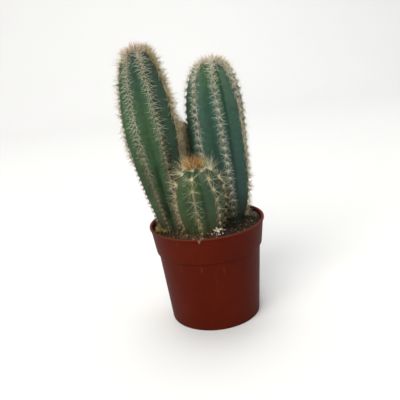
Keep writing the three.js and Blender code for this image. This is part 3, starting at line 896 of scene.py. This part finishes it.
def crown_material(name, wool, root, shaft, heart):
    """The growing point: pale wool, and bristles that are deepest in colour at its heart."""
    look = Look(name)
    tone = look.value("tone")
    look.colour = look.mix(look.ramp(look.value("along"), 0.0, 0.6), root, shaft)
    near_heart = look.calc("ADD", look.value("centre"), look.calc("MULTIPLY", tone, 0.45))
    look.cover(look.ramp(near_heart, 0.45, 0.8), heart)
    look.tint(look.ramp(tone, 0.75, 0.95), 0.6, root)
    look.colour = look.mix(look.value("bristle"), wool, look.colour)
    look.tint(look.noise(900, 3), 0.25, root)
    return look.done(0.6, 0.12, look.noise(3000, 3), 0.06, 0.5)


def pot_material():
    """Satin terracotta-coloured plastic: faint mottling, scuffs, dust and a painted lip highlight."""
    look = Look("pot_plastic")
    mottle = look.ramp(look.noise(30, 4), 0.3, 0.7)
    look.colour = look.mix(mottle, (0.062, 0.0048, 0.0008), (0.08, 0.0068, 0.0012))
    place = look.place()
    inputs = {"Vector": place, "Scale": (420, 420, 26)}
    upright = look.node("ShaderNodeMapping", inputs).outputs["Vector"]
    streaks = look.noise(1.0, 4.0, 0.5, upright)
    patchy = look.ramp(look.noise(38, 2), 0.5, 0.65)
    scuffs = look.calc("MULTIPLY", look.ramp(streaks, 0.66, 0.8), patchy)
    look.tint(scuffs, 0.4, (0.24, 0.09, 0.055))
    height = look.node("ShaderNodeSeparateXYZ", {"Vector": place}).outputs["Z"]
    # Painted highlight: the top millimetre of the lip is tinted paler.
    painted_lip_highlight = look.ramp(height, (POT.height - 1.2) * MM, (POT.height - 0.2) * MM)
    look.tint(painted_lip_highlight, 0.2, (0.2, 0.08, 0.055))
    look.tint(look.ramp(look.noise(240, 6, 0.7), 0.6, 0.85), 0.12, (0.16, 0.1, 0.07))
    roughness = look.uneven(0.46, 0.6)
    return look.done(roughness, 0.05, look.calc("ADD", look.noise(1100, 3), streaks), 0.04, 0.5)


def earth_material(name, dark, light, spot, spot_share):
    """Soil and grit: mottled, each grain in its own tone."""
    look = Look(name)
    look.colour = look.mix(look.ramp(look.noise(420, 5, 0.65), 0.3, 0.72), dark, light)
    look.tint(look.value("tone"), 0.6, dark)
    look.tint(look.ramp(look.noise(1400, 3), 0.56, 0.7), spot_share, spot)
    return look.done(0.95, 0.2, look.noise(1800, 5), 0.35, 0.8)


# Pot

def rounded(outline):
    """A closed (r, z) outline with its corners rounded by the radius in each third value."""
    points = []
    count = len(outline)
    for i, (r, z, radius) in enumerate(outline):
        here = np.array([r, z], float)
        before = np.array(outline[i - 1][:2], float) - here
        after = np.array(outline[(i + 1) % count][:2], float) - here
        reach = min(radius, 0.45 * np.linalg.norm(before), 0.45 * np.linalg.norm(after))
        start = here + unit(before) * reach
        end = here + unit(after) * reach
        for t in np.linspace(0, 1, 5):
            points.append((1 - t) ** 2 * start + 2 * t * (1 - t) * here + t ** 2 * end)
    return np.array(points)


def pot_inside(z):
    """The radius of the pot's inner wall at height z."""
    band_foot = POT.height - POT.band_height
    if z >= band_foot:
        share = (z - band_foot) / POT.band_height
        low, high = POT.band_foot_radius, POT.band_top_radius
    else:
        share = z / band_foot
        low, high = POT.foot_radius, POT.wall_top_radius
    return low + share * (high - low) - POT.wall


def turned(circle, profile):
    """Rings of (x, y, z) points from a circle and the (radius, z) of each ring."""
    return np.array([np.column_stack([circle * r, np.full(len(circle), z)]) for r, z in profile])


def unit_circle(count):
    turns = np.arange(count) / count * TURN
    return np.stack([np.cos(turns), np.sin(turns)], -1)


def pot_shape():
    """The pot's wall turned round its axis, still without its drain holes."""
    top, raised = POT.height, POT.raised_floor
    band_foot = top - POT.band_height
    under_band = band_foot - POT.wall
    lip_foot = top - POT.lip_height
    ring_inside = POT.foot_radius - POT.foot_ring_width
    outline = [
        (POT.pad_radius, 0, 0.5),
        (POT.pad_radius + raised, raised, 0.5),
        (ring_inside - raised, raised, 0.5),
        (ring_inside, 0, 0.5),
        (POT.foot_radius, 0, 0.9),
        (POT.wall_top_radius, band_foot - 0.3, 0.5),
        (POT.band_foot_radius, band_foot, 0.5),
        (POT.band_top_radius, lip_foot - 0.3, 0.5),
        (POT.lip_radius, lip_foot, 0.4),
        (POT.lip_radius, top, 0.6),
        (POT.lip_radius - 1.6, top, 0.6),
        (pot_inside(lip_foot), lip_foot, 0.8),
        (pot_inside(band_foot), band_foot, 0.8),
        (pot_inside(under_band), under_band, 0.8),
        (pot_inside(POT.floor_top), POT.floor_top, 1.6),
    ]
    profile = [(0.001, 0), *rounded(outline), (0.001, POT.floor_top)]
    return *skin(turned(unit_circle(POT.segments), profile)), {}


def drilled(target):
    """Cuts the drain holes into the pot's floor and leaves no modifier behind."""
    drill = bmesh.new()
    for i in range(DRAIN.count):
        turn = (i + 0.5) / DRAIN.count * TURN
        place = Vector((math.cos(turn), math.sin(turn), 0)) * DRAIN.ring * MM
        bmesh.ops.create_cone(
            drill, cap_ends=True, segments=DRAIN.segments, depth=4 * POT.floor_top * MM,
            radius1=DRAIN.radius * MM, radius2=DRAIN.radius * MM, matrix=Matrix.Translation(place),
        )
    mesh = bpy.data.meshes.new("drill")
    drill.to_mesh(mesh)
    drill.free()
    cutter = added("drill", mesh)
    cut = target.modifiers.new("drains", "BOOLEAN")
    cut.object = cutter
    cut.operation = "DIFFERENCE"
    cut.solver = "EXACT"
    evaluated = target.evaluated_get(bpy.context.evaluated_depsgraph_get())
    done = bpy.data.meshes.new_from_object(evaluated)
    target.modifiers.clear()
    target.data = done
    bpy.data.objects.remove(cutter)


# Soil

def soil_height(points):
    """The top of the potting mix: heaped before the front stem and rough all over."""
    x, y = points.T
    ground = SOIL_LEVEL + 0.3 + 0.5 * np.clip(-y / 40, 0, 1) ** 2
    for height, (middle_x, middle_y), (reach_x, reach_y) in HEAPS:
        ground += height * np.exp(-((x - middle_x) ** 2) / reach_x - (y - middle_y) ** 2 / reach_y)
    ground += 0.45 * waves(points, 11, 12, 8, 26)
    return ground + 0.22 * waves(points, 12, 20, 2, 5)


def soil_shape():
    """The bed of potting mix: plain where it lies in the pot, and rough on top."""
    edge = pot_inside(SOIL_LEVEL) - 0.15
    floor = POT.floor_top + 0.3
    band_foot = POT.height - POT.band_height
    inset = {floor: 1.2, floor + 1: 0.3, band_foot - POT.wall: 0.3, band_foot + 0.3: 0.3}
    circle = unit_circle(180)
    rings = list(turned(circle, [(pot_inside(z) - gap, z) for z, gap in inset.items()]))
    for share in np.linspace(1, 0.02, 70):
        flat = circle * share * edge
        height = soil_height(flat)
        if share == 1:
            height = np.minimum(height, SOIL_LEVEL + 0.4)
        rings.append(np.column_stack([flat, height]))
    points, triangles = skin(np.array(rings))
    return points, triangles, {"tone": np.full(len(points), 0.4)}


def scattered(count, smallest, largest, rng, favour=None):
    """Places on the soil outside the stems, and a size for each."""
    edge = pot_inside(SOIL_LEVEL)
    places, sizes = np.zeros((0, 2)), np.zeros(0)
    while len(places) < count:
        size = smallest + (largest - smallest) * rng.random(2 * count) ** 2.2
        out = (edge - size) * np.sqrt(rng.random(2 * count))
        turn = rng.random(2 * count) * TURN
        spot = np.stack([out * np.cos(turn), out * np.sin(turn)], -1)
        if favour:
            x, y, reach = favour
            spot = np.array([x, y]) + rng.normal(0, reach, spot.shape)
        inside = np.linalg.norm(spot, axis=1) < edge - size
        base = np.column_stack([spot, np.full(len(spot), SOIL_LEVEL + 1.0)])
        for stem in stems.values():
            inside &= stem.away(base) > 0.1
        places = np.concatenate([places, spot[inside]])
        sizes = np.concatenate([sizes, size[inside]])
    return places[:count], sizes[:count]


def grains(count, smallest, largest, seed, flat=0.7, favour=None, lift=0.15):
    """Grains of uneven size. flat is their greatest height and lift their rise, as shares of it."""
    rng = np.random.default_rng(seed)
    spot, size = scattered(count, smallest, largest, rng, favour)
    centre = np.column_stack([spot, soil_height(spot) + lift * size])
    shares = [np.ones(count), rng.uniform(0.65, 1, count), rng.uniform(0.55 * flat, flat, count)]
    sizes = size[:, None] * np.stack(shares, 1)
    return lumps(centre, sizes / 2, turned_frames(count, rng), 0.5, rng)


def rim_crumbs(seed):
    """A few crumbs of soil on the rim at the front and down its outer side."""
    rng = np.random.default_rng(seed)
    places = []
    for x, fall, number in RIM_CRUMBS:
        turn = math.asin(x / POT.lip_radius) - math.pi / 2
        for share in (np.arange(number) + 0.5) / number:
            out = POT.lip_radius - 1.2 * (1 - share) + 0.3
            own_turn = turn + rng.normal(0, 0.6 / POT.lip_radius)
            height = POT.height + 0.5 - fall * share
            places.append((out * math.cos(own_turn), out * math.sin(own_turn), height))
    count = len(places)
    sizes = rng.uniform(0.5, 1.0, (count, 3))
    return lumps(np.array(places), sizes, turned_frames(count, rng), 0.5, rng)


def fibres(count, seed):
    """Thin root and bark fibres that lie on the soil."""
    rng = np.random.default_rng(seed)
    spot, _ = scattered(count, 0.5, 1, rng)
    root = np.column_stack([spot, soil_height(spot) + 0.5])
    turn = rng.random(count) * TURN
    direction = unit(np.stack([np.cos(turn), np.sin(turn), rng.normal(0.05, 0.12, count)], 1))
    length = rng.uniform(2, 6, count)
    ends = root + direction * length[:, None]
    inside = np.linalg.norm(ends[:, :2], axis=1) < pot_inside(SOIL_LEVEL) - 0.5
    widths = rng.uniform(0.18, 0.4, count)[inside]
    bends = bowed(inside.sum(), 0.18, rng)
    steps = (0, 0.35, 0.7, 0.9)
    return needles(root[inside], direction[inside], length[inside], widths, bends, 4, steps, rng)


# Building

stems = {name: Stem(facts) for name, facts in STEMS.items()}
for name, stem in stems.items():
    others = [other for other in stems.values() if other is not stem]
    looks = LOOKS[name]
    skin_slot, crown_slot = looks["slots"]
    skin_look = skin_material("skin_" + name, **looks["skin"])
    spine_look = spine_material("spines_" + name, **looks["spines"])
    wool_look = wool_material("wool_" + name, **looks["wool"])
    crown_look = crown_material("growth_" + name, **looks["crown"])
    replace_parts(piece("skin_" + name, stem_shape(stem), skin_look, skin_slot), "stem_" + name)
    piece("spines_" + name, spine_shape(stem, others), spine_look, skin_slot)
    piece("wool_" + name, wool_shape(stem), wool_look, skin_slot)
    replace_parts(piece("growth_" + name, crown_shape(stem), crown_look, crown_slot), "crown_" + name)

pot = piece("pot_shell", pot_shape(), pot_material(), "pot_plastic")
drilled(pot)
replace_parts(pot, "pot")

# The looks of the soil: a dark and a light tone, spots and their share.
EARTHS = {
    "earth": ((0.006, 0.0045, 0.0025), (0.036, 0.025, 0.013), (0.12, 0.09, 0.055), 0.4),
    "bark": ((0.03, 0.018, 0.008), (0.13, 0.085, 0.04), (0.32, 0.24, 0.13), 0.4),
    "perlite": ((0.42, 0.34, 0.25), (0.66, 0.58, 0.46), (0.8, 0.74, 0.64), 0.5),
    "grit": ((0.04, 0.032, 0.022), (0.15, 0.13, 0.1), (0.36, 0.34, 0.27), 0.5),
    "husks": ((0.05, 0.035, 0.01), (0.3, 0.22, 0.06), (0.52, 0.42, 0.17), 0.4),
    "chaff": ((0.04, 0.025, 0.011), (0.145, 0.094, 0.047), (0.34, 0.26, 0.15), 0.5),
    "rim_crumbs": ((0.1, 0.048, 0.032), (0.27, 0.15, 0.1), (0.44, 0.3, 0.22), 0.4),
}
earths = {name: earth_material(name, *colours) for name, colours in EARTHS.items()}
bed = piece("soil_bed", soil_shape(), earths["earth"], "potting_mix")
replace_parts(bed, "soil")
# What lies on the soil. Grains have a number, the smallest and largest size in mm, a seed and how
# flat they are, then the middle (x, y) and spread of their patch and how far they rise.
for name, earth, shape in (
    ("soil_crumbs", "earth", grains(1100, 0.8, 2.8, 21)),
    ("soil_bark", "bark", grains(420, 0.8, 2.6, 22, 0.5, (-14, -16, 17))),
    ("soil_perlite", "perlite", grains(34, 0.6, 1.6, 23, 0.9, None, 0.3)),
    ("soil_perlite_front", "perlite", grains(70, 0.8, 2.2, 26, 0.9, (6, -34, 2.3), 0.6)),
    ("soil_on_rim", "rim_crumbs", rim_crumbs(30)),
    ("soil_chaff", "chaff", grains(260, 0.6, 1.8, 29, 0.7, (-6, -36, 8), 0.5)),
    ("soil_grit", "grit", grains(240, 0.7, 1.9, 24, 0.8)),
    ("soil_grit_right", "grit", grains(150, 0.9, 2.4, 27, 0.8, (35, 6, 3.6), 0.5)),
    ("soil_chaff_left", "chaff", grains(170, 0.6, 1.7, 31, 0.7, (-17, -27, 6), 0.5)),
    ("soil_husks", "husks", grains(220, 1.0, 3.2, 28, 0.45, (-34, -3, 5), 0.6)),
    ("soil_fibres", "bark", fibres(140, 25)),
):
    piece(name, shape, earths[earth], "potting_mix")


# Stage, light and camera

def cyclorama():
    """A pale floor that curves up into a wall far behind the plant."""
    wall, bend_radius, height = 1.8, 0.7, 4.0
    outline = [(-2.5, 0.0)]
    for angle in np.linspace(0, math.pi / 2, 24):
        y = wall - bend_radius + bend_radius * math.sin(angle)
        outline.append((y, bend_radius - bend_radius * math.cos(angle)))
    outline.append((wall, height))
    points = [(x, y, z) for y, z in outline for x in (-4.0, 4.0)]
    faces = [(i, i + 1, i + 3, i + 2) for i in range(0, len(points) - 2, 2)]
    mesh = bpy.data.meshes.new("cyclorama")
    mesh.from_pydata(points, [], faces, shade_flat=False)
    look = Look("paper")
    look.fill(look.shader, {"Base Color": look.mix(look.noise(3, 2), *PAPER), "Roughness": 0.9})
    mesh.materials.append(look.material)
    added("cyclorama", mesh)


def area_light(name, place, target, size, power, colour):
    data = bpy.data.lights.new(name, "AREA")
    data.size = size
    data.energy = power
    data.color = colour
    made = added(name, data)
    made.location = place
    made.rotation_euler = (Vector(target) - Vector(place)).to_track_quat("-Z", "Y").to_euler()


def camera(target, distance, elevation, roll, lens):
    """A camera that looks along +Y at target (mm), rolled so that the plant leans to the left."""
    data = bpy.data.cameras.new("camera")
    data.lens = lens
    data.sensor_width = 36
    data.clip_start = 0.01
    made = added("camera", data)
    tilted = Matrix.Rotation(math.radians(90 - elevation), 4, "X")
    rolled = Matrix.Rotation(-math.radians(roll), 4, "Z")
    back = Matrix.Translation((0, 0, distance * MM))
    made.matrix_world = Matrix.Translation(Vector(target) * MM) @ tilted @ rolled @ back
    bpy.context.scene.camera = made


cyclorama()
area_light("key", (-0.8, -1.5, 1.8), (0, 0, 0.1), 1.7, 70, (1.0, 0.97, 0.92))
area_light("fill", (1.5, -1.1, 0.9), (0, 0, 0.1), 1.2, 6, (0.8, 0.92, 1.0))
area_light("backdrop", (0, 0.7, 2.2), (0, 1.0, 0), 1.6, 38, (1.0, 1.0, 1.0))
world = bpy.data.worlds.new("studio")
world.use_nodes = True
background = world.node_tree.nodes["Background"].inputs
background["Color"].default_value = (0.9, 0.97, 1, 1)
background["Strength"].default_value = 0.28
bpy.context.scene.world = world
bpy.context.scene.view_settings.view_transform = "Standard"
camera(target=(-3.2, 0, 89.2), distance=400, elevation=16.4, roll=6.5, lens=49)
